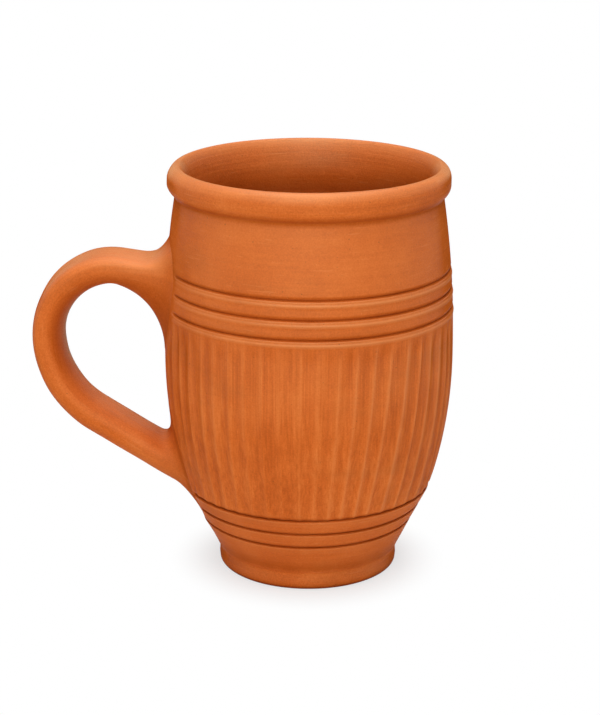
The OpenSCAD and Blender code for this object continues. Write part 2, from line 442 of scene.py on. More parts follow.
def cut_flutes(z):
    """Depth of the flutes, and the painted highlight on their ribs, which goes below 0 for painted shade
    in the troughs. Each flute is a little different.
    """
    draw = np.random.RandomState(SEED + 3)

    def each(low, high):
        return np.repeat(draw.uniform(low, high, FLUTES), FLUTE_COLUMNS)

    depth = each(*DEPTH_SHARES)
    deepest = each(*DEEPEST_AT)
    phase = each(0, 2 * np.pi)
    top = FLUTE_TOP + each(-TOP_SPREAD, TOP_SPREAD)
    wear = draw.uniform(0, RIDGE_WEAR, FLUTES)

    share = np.tile(np.arange(FLUTE_COLUMNS) / FLUTE_COLUMNS, FLUTES)
    bow = np.sin(np.pi * share ** (math.log(0.5) / np.log(deepest)))
    trough = depth * bow**1.15 * (1 + 0.2 * np.sin(0.13 * z + phase))
    rib_wear = np.repeat(wear, FLUTE_COLUMNS)
    next_wear = np.repeat(np.roll(wear, -1), FLUTE_COLUMNS)
    wear_and_highlight = rib_wear * (1 - share) + next_wear * share
    run = smooth(z, top + 1, top - FLUTE_FADE) * (z > FLUTE_LOW - 0.05)
    run = run * (0.55 + 0.45 * smooth(z, FLUTE_LOW, FLUTE_LOW + 2.5))
    # Painted highlight along each rib, and painted shade in its trough
    rib = 1.3 * (1 - bow**0.8) * depth - 0.36
    return (FLUTE_DEPTH * trough + wear_and_highlight) * run, rib * run


def flute_wander(around):
    """How far the flutes wander around the axis, in radians."""
    long = WANDER * waves(around, (7, 11, 17, 23), SEED)
    return long + FINE_WANDER * waves(around, (31, 43), SEED + 1)


def flute_angles(z, around, wander):
    """Angles of the wall's columns, which follow the flutes as they wander and lean."""
    lean = EACH_LEAN * waves(around, (3, 5, 9, 14), SEED + 2)
    from_middle = (np.angle(np.exp(1j * around)) - LEAN_AT) / LEAN_HALF
    lean_more = LEAN * np.exp(-(from_middle**2))
    return around + wander + lean * (z - BELLY_Z) / BELLY_Z + lean_more * (z - BELLY_Z)


# Distances between the wall's rows: on plain stretches, lips, tips, shoulders and in the crease
PLAIN_ROW, LIP_ROW, TIP_ROW, SHOULDER_ROW, CREASE_ROW = 0.8, 0.16, 0.08, 0.1, 0.06


def wall_rows():
    """Heights of the outer rows, close together at the grooves."""
    heights = []
    z = FOOT_H
    for tip in sorted(LOWER_GROOVES + UPPER_GROOVES):
        heights += steps(z, tip - LIP_END, PLAIN_ROW)
        heights += steps(tip - LIP_END, tip - GROOVE_LOW, LIP_ROW)
        heights += steps(tip - GROOVE_LOW, tip, TIP_ROW)
        heights += steps(tip, tip + GROOVE_TOP, SHOULDER_ROW)
        z = tip + GROOVE_TOP
    heights += steps(z, CREASE_Z, PLAIN_ROW) + steps(CREASE_Z, SEAT_Z, CREASE_ROW)
    return np.array(heights + [SEAT_Z])


def crease_rise(z):
    """How far the neck's top runs out into the fillet under the rim."""
    return RIM_FILLET - np.sqrt(RIM_FILLET**2 - np.clip(z - CREASE_Z, 0, SEAT_Z - CREASE_Z) ** 2)


def make_wall_outside(around, wander):
    """Points of the wall's outside, and the painted shade and painted highlight of the clay and ribs
    there.
    """
    z = wall_rows()[:, None]
    angle = flute_angles(z, around, wander)
    plain = barrel_r(z)
    groove, lip, pale = cut_grooves(z, around)

    # Grooves and flutes fade out around the roots of the handle
    level = np.minimum(*(root.level(turned(plain, z, angle)) for root in (UPPER_ROOT, LOWER_ROOT)))
    level = level.reshape(groove.shape)
    fade = smooth(level, 1.0, 1.16)

    left = handle_side(angle)
    uneven = WALL_UNEVEN * waves(angle + 0.02 * z, (2, 3, 5), SEED + 20) * smooth(z, SEAT_Z, SEAT_Z - 6)
    flute, rib = cut_flutes(z)
    hip = HIP_SWELL * (2 * left - 0.5) * smooth(z, *HIP_RISE) * smooth(z, *HIP_END)
    neck = NECK_LEFT * left**3 * smooth(z, *NECK_RISE)
    radius = plain - WALL_INSET + (lip - groove - flute + uneven + hip) * fade + neck + crease_rise(z)

    # Painted shade in the grooves, at the edge of the roots' prints, in the crease and in the cove
    dark = np.clip(groove / GROOVE_DEPTH, 0, 1.25) ** 0.7 * fade
    dark = np.maximum(dark, PRINT_SHADE * (1 - smooth(level, 1.0, 1.1)))
    dark = np.maximum(dark, np.maximum(crease_shade(z), cove_shade(z)))
    rib = rib * fade
    # Painted highlight on the ribs, on the half of the cup away from the handle
    wear_and_highlight = RIB_PALE * np.clip(2 * rib - 0.5, 0, 1) * smooth(np.cos(angle), 0.0, 0.45)
    paint = {"cavity": dark, "ridge": np.maximum(pale * fade, wear_and_highlight), "rib": rib}
    return turned(radius, z, angle), paint


def wall_inside_profile():
    """Radii and heights of the wall's inside, from the rim's seat down to the floor and the foot."""
    z = np.linspace(SEAT_Z, FLOOR_Z + HEEL_R * (1 - math.sin(SLOPE)), 90)
    turn = np.linspace(-SLOPE, -math.pi / 2, 10)[1:]
    heel = np.stack([FLOOR_R + HEEL_R * np.cos(turn), FLOOR_Z + HEEL_R + HEEL_R * np.sin(turn)])
    under = np.array([[FLOOR_R, (FLOOR_R + FOOT_R) / 2], [FOOT_H, FOOT_H]])
    profile = np.concatenate([np.stack([inside_r(z), z]), heel, under], axis=1)
    return profile[0][:, None], profile[1][:, None]


def make_wall_inside(around, wander):
    """Points of the wall's inside, with its throwing rings, and its painted shade."""
    r, z = wall_inside_profile()
    ring = np.sin(1.25 * z + around + 1.5 * waves(around, (1, 2, 3), SEED + 30))
    ring = ring * smooth(z, FLOOR_Z + 3, FLOOR_Z + 10) * smooth(z, SEAT_Z - 2, SEAT_Z - 8)
    dark = inside_shade(z, around)
    none = np.zeros_like(dark)
    points = turned(r + THROWING_RING * ring, z, around + wander)
    return points, {"cavity": dark, "ridge": none, "rib": none}


def make_wall(material):
    """The thrown wall: turned grooves, hand-cut flutes, and throwing rings inside."""
    around = circle(FLUTES * FLUTE_COLUMNS)
    wander = flute_wander(around)
    outside, outer_paint = make_wall_outside(around, wander)
    inside, inner_paint = make_wall_inside(around, wander)
    points = np.concatenate([outside, inside])
    faces = grid_faces(len(points) // len(around), len(around), True)
    paint = {key: np.concatenate([outer_paint[key], inner_paint[key]]).ravel() for key in outer_paint}
    return make_piece("cup_wall_clay", points, faces, material, paint)


# The turned rings: rim, foot and floor

RIM_COLUMNS = 360
FOOT_COLUMNS = 240
FLOOR_COLUMNS = 180


def arc_points(mid, radius, start, stop, count):
    """Points of an arc in the half outline, as rows of radius and height."""
    a = np.radians(np.linspace(start, stop, count))
    return np.stack([mid[0] + radius * np.cos(a), mid[1] + radius * np.sin(a)], axis=1)


def curve_points(handles, count):
    """Points of a cubic curve, without its first one."""
    t = np.linspace(0, 1, count)[1:, None]
    weights = ((1 - t) ** 3, 3 * (1 - t) ** 2 * t, 3 * (1 - t) * t**2, t**3)
    return sum(weight * handle for weight, handle in zip(weights, handles))


def make_turned(name, profile, columns, material, swell, attributes):
    """A closed ring turned from a half outline. swell(angle, radius, height) adds to its radius."""
    around = circle(columns)
    r, z = profile[:, :1], profile[:, 1:]
    points = turned(r + swell(around[None, :], r, z), z, around)
    shape = (len(profile), columns)
    spread = {key: np.broadcast_to(values, shape).ravel() for key, values in attributes.items()}
    return make_piece(name, points, grid_faces(*shape, True), material, spread)


def rim_profile():
    """Half outline of the rim: a crease to the neck outside, a long round run into the wall inside."""
    start = 180 + math.degrees(math.asin((CREASE_Z - SEAT_Z) / RIM_FILLET))
    touch = math.degrees(math.atan2(CREASE_Z - BEAD_LOW, FILLET_MID - BEAD_MID))
    crease = arc_points((FILLET_MID, CREASE_Z), RIM_FILLET, start, 180 + touch, 9)
    outer = arc_points((BEAD_MID, BEAD_LOW), BEAD_R, touch, 0, 20)[1:]
    a = np.linspace(0, np.pi / 2, 26)
    top_r = CREST_R + (RIM_R - CREST_R) * np.cos(a)
    top = np.stack([top_r, CUP_H - BEAD_R + BEAD_R * np.sin(a)], axis=1)
    # The inside drops from the level crest to the inner wall's own slope
    crest = top[-1]
    seat = np.array([float(inside_r(SEAT_Z)), SEAT_Z])
    lean = math.asin((SEAT_Z - BELLY_Z) / (UPPER_ARC - WALL))
    upright = np.array([2 * MOUTH_THIN / THIN_DEPTH - math.tan(lean), 1])
    handles = (crest, crest - np.array([CREST_PULL, 0]), seat + SEAT_PULL * upright, seat)
    inner = curve_points(handles, 40)
    under = np.array([[(seat[0] + NECK_FACE) / 2, SEAT_Z]])
    return np.concatenate([crease, outer, top, inner, under])


def rim_swell(angle, r, z):
    """Unevenness of the rim, which swells on the handle's side as the neck below it does."""
    left = handle_side(angle) ** 3
    outside = smooth(r, CREST_R, RIM_R) * smooth(z, SEAT_Z, BEAD_LOW)
    bead = RIM_SWELL + RIM_LEFT * left * smooth(z, CUP_H - 0.5, CUP_H - 4)
    at_neck = smooth(r, inside_r(SEAT_Z) + 1, NECK_FACE - 0.5) * smooth(z, BEAD_LOW, SEAT_Z)
    uneven = RIM_UNEVEN * waves(angle, (2, 3, 5, 8), SEED + 40) * smooth(z, SEAT_Z + 1, CUP_H - BEAD_R)
    return outside * bead + NECK_LEFT * left * at_neck + uneven


def make_rim(material):
    """The rolled rim bead, with painted shade in the crease and inside, and a painted highlight along its
    crest.
    """
    profile = rim_profile()
    r, z = profile[:, :1], profile[:, 1:]
    # Painted shade in the crease and on the inside below the crest
    crease = crease_shade(z) * smooth(r, NECK_FACE - 0.5, NECK_FACE)
    inside = inside_shade(z, circle(RIM_COLUMNS)) * smooth(r, CREST_R, CREST_R - 2)
    # Painted highlight along the crest
    wear_and_highlight = CREST_PALE * smooth(z, CUP_H - 3, CUP_H - 0.5)
    paint = {"cavity": np.maximum(crease, inside), "ridge": wear_and_highlight}
    return make_turned("rim_bead_clay", profile, RIM_COLUMNS, material, rim_swell, paint)


def foot_swell(angle, r, z):
    """Unevenness of the foot's side."""
    outside = smooth(r, FOOT_R - 3, FOOT_R - 1) * smooth(z, FOOT_H, COVE_Z)
    return FOOT_UNEVEN * outside * waves(angle, (2, 3, 7), SEED + 50)


def make_foot(material):
    """The turned foot: a cove under the taper, an upright side and a rounded lower edge."""
    cove = arc_points((COVE_MID, COVE_Z), FOOT_COVE, 180 - math.degrees(SLOPE), 180, 9)
    side = np.array([[FOOT_SIDE - 0.05, WAIST_Z], [BASE_R + 0.1, FOOT_ROUND + 1.0]])
    edge = arc_points((BASE_R - FOOT_ROUND, FOOT_ROUND), FOOT_ROUND, 0, -90, 8)
    inner = np.array([[FLOOR_R, 0], [FLOOR_R, FOOT_H]])
    profile = np.concatenate([[[FOOT_FACE, FOOT_H]], cove, side, edge, inner])[::-1]
    r, z = profile[:, :1], profile[:, 1:]
    # Painted shade in the cove and along the lower edge, where the foot stands on the floor
    dark = np.maximum(cove_shade(z), BASE_SHADE * smooth(z, 1.5, 0.4))
    paint = {"cavity": dark * smooth(r, FLOOR_R, FLOOR_R + 2)}
    return make_turned("foot_ring_clay", profile, FOOT_COLUMNS, material, foot_swell, paint)


def make_floor(material):
    """The floor disc, with the spiral that throwing leaves on its upper face."""
    around = circle(FLOOR_COLUMNS)
    radii = np.linspace(0.4, FLOOR_R, 44)[:, None]
    spiral = SPIRAL_H * np.sin(2 * np.pi * SPIRAL_TURNS * radii / FLOOR_R - around)
    spiral = spiral * smooth(radii, FLOOR_R, FLOOR_R - 3) * smooth(radii, 0, 2)
    dished = FLOOR_INSET + DISHED * smooth(radii, FLOOR_R, 0)
    top = turned(radii, FLOOR_Z - dished + spiral, around)
    below = turned(radii[::-1], 0.0, around)
    points = np.concatenate([top, below])
    # Painted shade all over the floor inside the cup
    paint = {"cavity": np.full(len(points), INSIDE_SHADE)}
    faces = capped_faces(2 * len(radii), FLOOR_COLUMNS)
    return make_piece("floor_disc_clay", points, faces, material, paint)


# The handle is a skin over rings, from the upper root to the lower one

SIDES = 72
BEND_RINGS = 41
ROOT_RINGS = 26
# Distances of the slip's rings from the wall
SKIRT_GAPS = [-ROOT_SINK, -ROOT_SINK / 2, 0.0, 0.01, 0.03, 0.07, 0.13, 0.21, 0.31, 0.44]
# Sizes of the rings that close a root's end
CAP_SHARES = (0.7, 0.4, 0.1)
turns = circle(SIDES)
ACROSS = np.stack([np.cos(turns), np.sin(turns)], axis=1)


def section(form):
    """The strap's outline as shares of its half thickness and half width: squarer outside than inside."""
    square, lean, more = form
    power = 2 / np.where(ACROSS[:, :1] > 0, square, INNER_SQUARE)
    shape = np.sign(ACROSS) * np.abs(ACROSS) ** power
    shape[:, 0] += lean * (1 - shape[:, 0] ** 2)
    shape[:, 0] *= np.where(shape[:, 0] < 0, 1 + more, 1)
    return shape


def flare(gap, radius):
    """How far a fillet spreads at a distance from the wall."""
    gap = max(gap, 0)
    return 0 if gap >= radius else radius - math.sqrt(radius**2 - (radius - gap) ** 2)


def face_at(shape, gap, fillets):
    """How far outwards each point of a ring lies."""
    spread = np.where(shape[:, 0] > 0, flare(gap, fillets[0]), flare(gap, fillets[1]))
    return shape[:, 0] * (STRAP_T / 2 + spread)


def side_at(shape, gap, fillets):
    """How far sideways each point of a ring lies."""
    return shape[:, 1] * (STRAP_W / 2 + flare(gap, fillets[2]))


def upper_dip(gap):
    """How far the upper arm's outer face dips beside its root."""
    return UPPER_DIP * smooth(gap, 0, 4) * smooth(gap, 20, 5)


def root_ring(root, gap, share=1.0):
    """A ring of a root, which follows the wall's shape more the nearer it is."""
    square = ROOT_SQUARE + (root.form[0] - ROOT_SQUARE) * smooth(gap, 0, 7)
    shape = section((square, *root.form[1:]))
    follow = max(0, 1 - max(gap, 0) / root.span) ** 2
    face = face_at(shape, gap, root.fillets)
    if root is UPPER_ROOT:
        face -= np.maximum(shape[:, 0], 0) * upper_dip(gap)
    across = face[:, None] * root.out + side_at(shape, gap, root.fillets)[:, None] * SIDEWAYS
    p = root.arm + share * across
    run = (1 - follow) * root.span + follow * root.reach(p) - gap
    return p + run[:, None] * root.way


def bend_ring(mid, radius, a, gap, fillets, form, bulge=0.0):
    """A ring of a bend, at an angle around the bend's middle. bulge lifts the outer face."""
    shape = section(form)
    face = face_at(shape, gap, fillets) + bulge * np.maximum(shape[:, 0], 0)
    across = side_at(shape, gap, fillets)[:, None] * SIDEWAYS
    return mid + (radius + face)[:, None] * heading(a) + across


def cap_rings(root, gap):
    """Rings that close a root's end, shrinking towards its middle."""
    return [root_ring(root, gap, share) for share in CAP_SHARES]


def root_gaps(span):
    """Distances of a root's rings from the wall, closer together near it."""
    return SKIRT_GAPS + [SLIP_T + (span - SLIP_T) * (i / ROOT_RINGS) ** 1.8 for i in range(ROOT_RINGS)]


def strap_rings():
    """Rings of the strap and both skirts, from wall to wall, and each ring's distance from the wall."""
    gaps = root_gaps(UPPER_ROOT.span)
    rings = [root_ring(UPPER_ROOT, gap) for gap in gaps]
    upper_turn = math.pi / 2 + RISE
    for t in np.linspace(0, upper_turn, BEND_RINGS)[:-1]:
        gap = UPPER_ROOT.span + UPPER_BEND_R * t
        a = math.pi - upper_turn + t
        bulge = UPPER_BULGE * math.sin(math.pi * t / upper_turn) ** 2 - upper_dip(gap)
        rings.append(bend_ring(UPPER_MID, UPPER_BEND_R, a, gap, UPPER_FILLETS, UPPER_SECTION, bulge))
        gaps.append(gap)
    lower_turn = math.pi / 2 - FALL
    for t in np.linspace(0, lower_turn, BEND_RINGS):
        gap = LOWER_ROOT.span + LOWER_BEND_R * (lower_turn - t)
        form = UPPER_SECTION + (LOWER_SECTION - UPPER_SECTION) * t / lower_turn
        rings.append(bend_ring(LOWER_MID, LOWER_BEND_R, math.pi + t, gap, LOWER_FILLETS, form))
        gaps.append(gap)
    lower_gaps = root_gaps(LOWER_ROOT.span)[::-1]
    rings += [root_ring(LOWER_ROOT, gap) for gap in lower_gaps]
    return np.array(rings), np.array(gaps + lower_gaps)


def ring_normals(rings):
    """Outward normals of a skin over rings."""
    along = np.gradient(rings, axis=0)
    around = np.roll(rings, -1, axis=1) - np.roll(rings, 1, axis=1)
    normals = np.cross(along, around)
    return normals / np.maximum(np.linalg.norm(normals, axis=2, keepdims=True), 1e-9)


def dents(along):
    """Unevenness of the pulled strap, for each ring and side."""
    draw = np.random.RandomState(SEED + 60)
    lengths = (11, 17, 24, 38, 60)
    total = np.zeros((len(along), SIDES))
    for length in lengths:
        times = draw.randint(1, 4)
        start, lean = draw.uniform(0, 2 * np.pi, 2)
        total += np.sin(2 * np.pi * along[:, None] / length + start) * np.cos(times * turns + lean)
    return STRAP_DENT * total / len(lengths)


def strap_paint(along, gaps):
    """The painted shade and painted sheen of each ring and side, and how far it looks into the loop."""
    length = along[-1]
    first_half = along < length / 2
    outward = np.cos(turns)
    # Painted shade at the roots, strongest next to the wall
    root = np.where(first_half, UPPER_ROOT_SHADE, LOWER_ROOT_SHADE)
    root = root * np.maximum(1 - smooth(gaps, 0.02, 1.2), 0.4 * (1 - smooth(gaps, 0, 14)))
    # Painted shade on the face inside the loop, most of all on the upper bend
    upper = smooth(along, 0.75 * length, 0.45 * length)[:, None]
    loop = LOOP_SHADE * smooth(-outward, 0.0, 0.7) * upper
    inner = smooth(-outward, 0.4, 0.95) * upper * smooth(along, 0.2 * length, 0.4 * length)[:, None]
    # Painted sheen near the roots, on all but the face inside the loop
    root_sheen = np.where(first_half, UPPER_ROOT_PALE, LOWER_ROOT_PALE)
    root_sheen = root_sheen * smooth(gaps, 22, 6) * smooth(gaps, 0, 3)
    pale = root_sheen[:, None] * smooth(outward, -0.6, 0.2)
    return {"cavity": np.maximum(root[:, None], loop), "inner": inner, "ridge": pale}


def make_handle(material):
    """The pulled strap, and at each root the skirt of slip that feathers it onto the wall."""
    rings, gaps = strap_rings()
    middles = rings.mean(axis=1)
    along = np.concatenate([[0], np.cumsum(np.linalg.norm(np.diff(middles, axis=0), axis=1))])
    free = smooth(along, 2, 9) * smooth(along, along[-1] - 2, along[-1] - 9)
    rings = rings + ring_normals(rings) * (dents(along) * free[:, None])[..., None]
    normals = ring_normals(rings)
    paint = strap_paint(along, gaps)

    def skin(name, part, start_caps, stop_caps):
        """A closed skin over some of the rings and over the caps at both ends."""
        pick = np.arange(len(rings))[part]
        first = pick[:1].repeat(len(start_caps))
        last = pick[-1:].repeat(len(stop_caps))
        pick = np.concatenate([first, pick, last])
        points = np.concatenate([start_caps, rings[part], stop_caps]).reshape(-1, 3)
        around = np.tile(ACROSS * STRAP_W / 3, (len(pick), 1))
        attributes = {"strap": np.column_stack([np.repeat(along[pick], SIDES), around])}
        for key, values in paint.items():
            attributes[key] = values[pick].ravel()
        faces = capped_faces(len(pick), SIDES)
        return make_piece(name, points, faces, material, attributes, normals[pick].reshape(-1, 3))

    skirt = len(SKIRT_GAPS)
    upper_seat = cap_rings(UPPER_ROOT, SLIP_T)
    lower_seat = cap_rings(LOWER_ROOT, SLIP_T)
    upper_deep = cap_rings(UPPER_ROOT, -ROOT_SINK)
    lower_deep = cap_rings(LOWER_ROOT, -ROOT_SINK)
    return (
        skin("handle_clay", slice(skirt, -skirt), upper_seat[::-1], lower_seat),
        skin("upper_slip_clay", slice(0, skirt + 1), upper_deep[::-1], upper_seat),
        skin("lower_slip_clay", slice(-skirt - 1, None), lower_seat[::-1], lower_deep),
    )


# Materials


def add_node(tree, kind, inputs=None, **settings):
    """A shader node with its settings, and its inputs as values or as links from sockets."""
    made = tree.nodes.new("ShaderNode" + kind)
    for key, value in settings.items():
        setattr(made, key, value)
    for key, value in (inputs or {}).items():
        if isinstance(value, bpy.types.NodeSocket):
            tree.links.new(value, made.inputs[key])
        else:
            made.inputs[key].default_value = value
    return made


def add_socket(tree, kind, inputs=None, output=0, **settings):
    """An output of a new shader node."""
    return add_node(tree, kind, inputs, **settings).outputs[output]


def add_range(tree, value, low, high, to_low, to_high, **settings):
    """A value taken from one range to another."""
    inputs = {"Value": value, "From Min": low, "From Max": high, "To Min": to_low, "To Max": to_high}
    return add_socket(tree, "MapRange", inputs, **settings)


def linear(red, green, blue):
    """A colour of 0 to 255 steps as the linear values that shaders take."""
    shares = (red / 255, green / 255, blue / 255)
    return (*(c / 12.92 if c <= 0.04045 else ((c + 0.055) / 1.055) ** 2.4 for c in shares), 1.0)


CLAY_MID = linear(212, 104, 38)
CLAY_LIGHT = linear(225, 121, 54)
CLAY_DARK = linear(190, 86, 26)
# Colour of the painted shade
CLAY_DEEP = linear(128, 48, 8)
CLAY_PALE = linear(230, 145, 84)
CLAY_BROWN = linear(172, 88, 34)
SPECK = linear(108, 52, 20)
GLOSS_TINT = (1.0, 0.95, 0.55, 1.0)
SHEEN_TINT = (1.0, 0.94, 0.58, 1.0)

# How strongly each layer of the colour shows
TONE_GAIN = 1.3
SMUDGE_SHARE = 0.3
DASH_SHARE = 0.25
RIDGE_SHARE = 0.45
CAVITY_SHARE = 0.55
PIT_SHARE = 0.5
PALE_DOT_SHARE = 0.35

# The face inside the handle's loop has a dull shine of its own
INNER_GLOSS = 0.05
INNER_SHEEN = 0.4


class Finish(NamedTuple):
    """How smooth and shiny a piece's clay is, and which way its streaks run."""

    # Roughness, and the height of the grain's relief
    rough: float
    grit: float
    # Gloss of faces that look up and that look down, and where it fades as a face turns edge on
    gloss: float
    under_gloss: float
    gloss_fade: tuple
    # Sheen of faces that look up, how far up it starts, and where it fades and to what share
    sheen: float
    sheen_from: float
    sheen_fade: tuple
    # turned, fluted or pulled
    streaks: str


FOOT_FINISH = Finish(
    rough=0.5,
    grit=0.2,
    gloss=0.9,
    under_gloss=0.02,
    gloss_fade=(0.2, 0.7),
    sheen=0.8,
    sheen_from=0.25,
    sheen_fade=(0.5, 0.85, 0.15),
    streaks="turned",
)
WALL_FINISH = FOOT_FINISH._replace(streaks="fluted")
RIM_FINISH = FOOT_FINISH._replace(grit=0.09, gloss=0.75, sheen=1.0, sheen_fade=(0.75, 0.95, 0.3))
STRAP_FINISH = Finish(
    rough=0.6,
    grit=0.14,
    gloss=0.62,
    under_gloss=0.006,
    gloss_fade=(0.4, 0.85),
    sheen=0.75,
    sheen_from=0.45,
    sheen_fade=(0.78, 0.97, 0.35),
    streaks="pulled",
)


class Clay:
    """Nodes of fired clay, measured in millimetres."""

    def __init__(self, name):
        self.material = bpy.data.materials.new(name)
        self.material.use_nodes = True
        self.tree = self.material.node_tree
        self.shader = self.tree.nodes["Principled BSDF"]
        place = self.socket("TexCoord", output="Object")
        self.place = self.scaled(place, (1 / MM,) * 3)

    def socket(self, kind, inputs=None, output=0, **settings):
        """An output of a new node of this material."""
        return add_socket(self.tree, kind, inputs, output, **settings)

    def give(self, name, value):
        """Give the shader's input a varying value from a socket, or a constant."""
        if isinstance(value, bpy.types.NodeSocket):
            self.tree.links.new(value, self.shader.inputs[name])
        else:
            self.shader.inputs[name].default_value = value

    def scaled(self, vector, scale):
        return self.socket("VectorMath", {0: vector, 1: scale}, operation="MULTIPLY")

    def noise(self, scale, detail, roughness, vector=None):
        """Noise of 0 to 1 whose features have a size of 1 / scale on each axis."""
        source = self.scaled(vector or self.place, scale)
        inputs = {"Vector": source, "Scale": 1.0, "Detail": detail, "Roughness": roughness}
        return self.socket("TexNoise", inputs, "Fac")

    def math(self, operation, *values, clamp=False):
        return self.socket("Math", dict(enumerate(values)), operation=operation, use_clamp=clamp)

    def times(self, a, b):
        return self.math("MULTIPLY", a, b)

    def add_share(self, share, layer, total):
        """A share of a layer on top of a total."""
        return self.math("MULTIPLY_ADD", layer, share, total)

    def line(self, value, low, high, to_low, to_high):
        """A straight ramp from to_low at low to to_high at high, level outside."""
        return add_range(self.tree, value, low, high, to_low, to_high)

    def ease(self, value, low, high, to_low=0.0, to_high=1.0):
        """A smooth ramp from to_low at low to to_high at high, level outside."""
        return add_range(self.tree, value, low, high, to_low, to_high, interpolation_type="SMOOTHSTEP")

    def mix(self, share, a, b):
        """Colour a, with a share of colour b over it."""
        return self.socket("Mix", {0: share, 6: a, 7: b}, 2, data_type="RGBA")

    def mix_value(self, share, a, b):
        return self.socket("Mix", {0: share, 2: a, 3: b}, data_type="FLOAT")

    def attribute(self, name, output="Fac"):
        return self.socket("Attribute", output=output, attribute_name=name)

    def height(self):
        return self.socket("SeparateXYZ", {0: self.place}, 2)

    def upward(self):
        """1 on faces that look up, 0 on upright ones, -1 on those that look down."""
        normal = self.socket("NewGeometry", output="Normal")
        return self.socket("SeparateXYZ", {0: normal}, 2)

    def facing(self):
        """0 on faces seen straight on, 1 on those seen edge on."""
        return self.socket("LayerWeight", {"Blend": 0.5}, "Facing")

    def dots(self, scale, size, share):
        """Small dots: 1 in the middle of a share of the cells, 0 outside."""
        cells = add_node(self.tree, "TexVoronoi", {"Vector": self.place, "Scale": scale})
        picked = self.socket("SeparateColor", {0: cells.outputs["Color"]})
        chosen = self.math("LESS_THAN", picked, share)
        return self.times(self.ease(cells.outputs["Distance"], size, size * 0.4), chosen)

    def sum(self, *layers):
        """Sum of noises around 0, each as a pair of noise and strength."""
        total = None
        for layer, strength in layers:
            part = self.math("MULTIPLY_ADD", layer, strength, -strength / 2)
            total = part if total is None else self.math("ADD", total, part)
        return total


class Layers:
    """The uneven layers of fired clay: clouds, mottle and grain, and the streaks of the potter's hand."""

    def __init__(self, clay, streaks):
        self.cloud = clay.noise((0.018,) * 3, 2, 0.5)
        self.mottle = clay.noise((0.07,) * 3, 4, 0.62)
        self.grain = clay.noise((2.4,) * 3, 3, 0.7)
        self.pits = clay.math("MAXIMUM", clay.dots(0.42, 0.1, 0.25), clay.dots(0.9, 0.13, 0.15))
        if streaks == "pulled":
            along = clay.attribute("strap", "Vector")
            self.streak = clay.noise((0.05, 0.6, 0.6), 5, 0.65, along)
            self.smudge = clay.noise((0.03, 0.16, 0.16), 4, 0.6, along)
            dash = clay.noise((0.16, 2.0, 2.0), 2, 0.5, along)
        else:
            self.streak = clay.noise((0.035, 0.035, 1.2), 5, 0.65)
            self.smudge = clay.noise((0.03, 0.03, 0.09), 4, 0.6)
            dash = clay.noise((0.16, 0.16, 2.6), 2, 0.5)
        self.dash = clay.ease(dash, 0.62, 0.74)
        if streaks == "fluted":
            self.follow_flutes(clay)
        else:
            self.tone = self.mixed_tone(clay, 1.5, 2.4)

    def mixed_tone(self, clay, streak, grain):
        """How light or dark the clay is, around 0, with the strengths of streaks and grain."""
        return clay.sum((self.cloud, 0.8), (self.mottle, 1.5), (self.streak, streak), (self.grain, grain))

    def follow_flutes(self, clay):
        """Turn the streaks up the flutes between the grooves, and set the tone, with painted highlight on
        the ribs and painted shade in the troughs.
        """
        height = clay.height()
        over_hip = clay.ease(height, HIP_Z, HIP_Z + 0.2)
        zone = clay.times(over_hip, clay.ease(height, STREAK_END, STREAK_FULL))
        calm = clay.line(self.streak, 0.0, 1.0, 0.28, 0.72)
        self.streak = clay.mix_value(zone, calm, clay.noise((0.6, 0.6, 0.022), 6, 0.7))
        self.dash = clay.mix_value(zone, self.dash, 0.0)
        tone = self.mixed_tone(clay, 1.9, 1.8)
        fine = clay.mix_value(zone, 0.5, clay.noise((2.0, 2.0, 0.035), 2, 0.6))
        tone = clay.math("ADD", tone, clay.sum((fine, 1.7)))
        patchy = clay.ease(clay.noise((0.09, 0.09, 0.03), 3, 0.6), 0.3, 0.7, 0.2, 0.8)
        # The rib attribute adds painted highlight on the ribs and painted shade in the troughs
        self.tone = clay.math("MULTIPLY_ADD", clay.attribute("rib"), patchy, tone)


def colour_clay(clay, layers):
    """Mottled and streaked clay, with painted highlight on edges and ribs, painted shade in hollows, and
    pits and specks.
    """
    colour = clay.mix(clay.math("MULTIPLY", layers.tone, -TONE_GAIN, clamp=True), CLAY_MID, CLAY_DARK)
    colour = clay.mix(clay.math("MULTIPLY", layers.tone, TONE_GAIN, clamp=True), colour, CLAY_LIGHT)
    colour = clay.mix(clay.ease(layers.smudge, 0.5, 0.75, 0.0, SMUDGE_SHARE), colour, CLAY_BROWN)
    colour = clay.mix(clay.times(layers.dash, DASH_SHARE), colour, CLAY_PALE)
    # Painted highlight and sheen from the ridge attribute
    colour = clay.mix(clay.times(clay.attribute("ridge"), RIDGE_SHARE), colour, CLAY_PALE)
    # Painted shade from the cavity attribute
    colour = clay.mix(clay.times(clay.attribute("cavity"), CAVITY_SHARE), colour, CLAY_DEEP)
    colour = clay.mix(clay.times(layers.pits, PIT_SHARE), colour, SPECK)
    colour = clay.mix(clay.times(clay.dots(0.7, 0.13, 0.14), PALE_DOT_SHARE), colour, CLAY_PALE)
    clay.give("Base Color", colour)


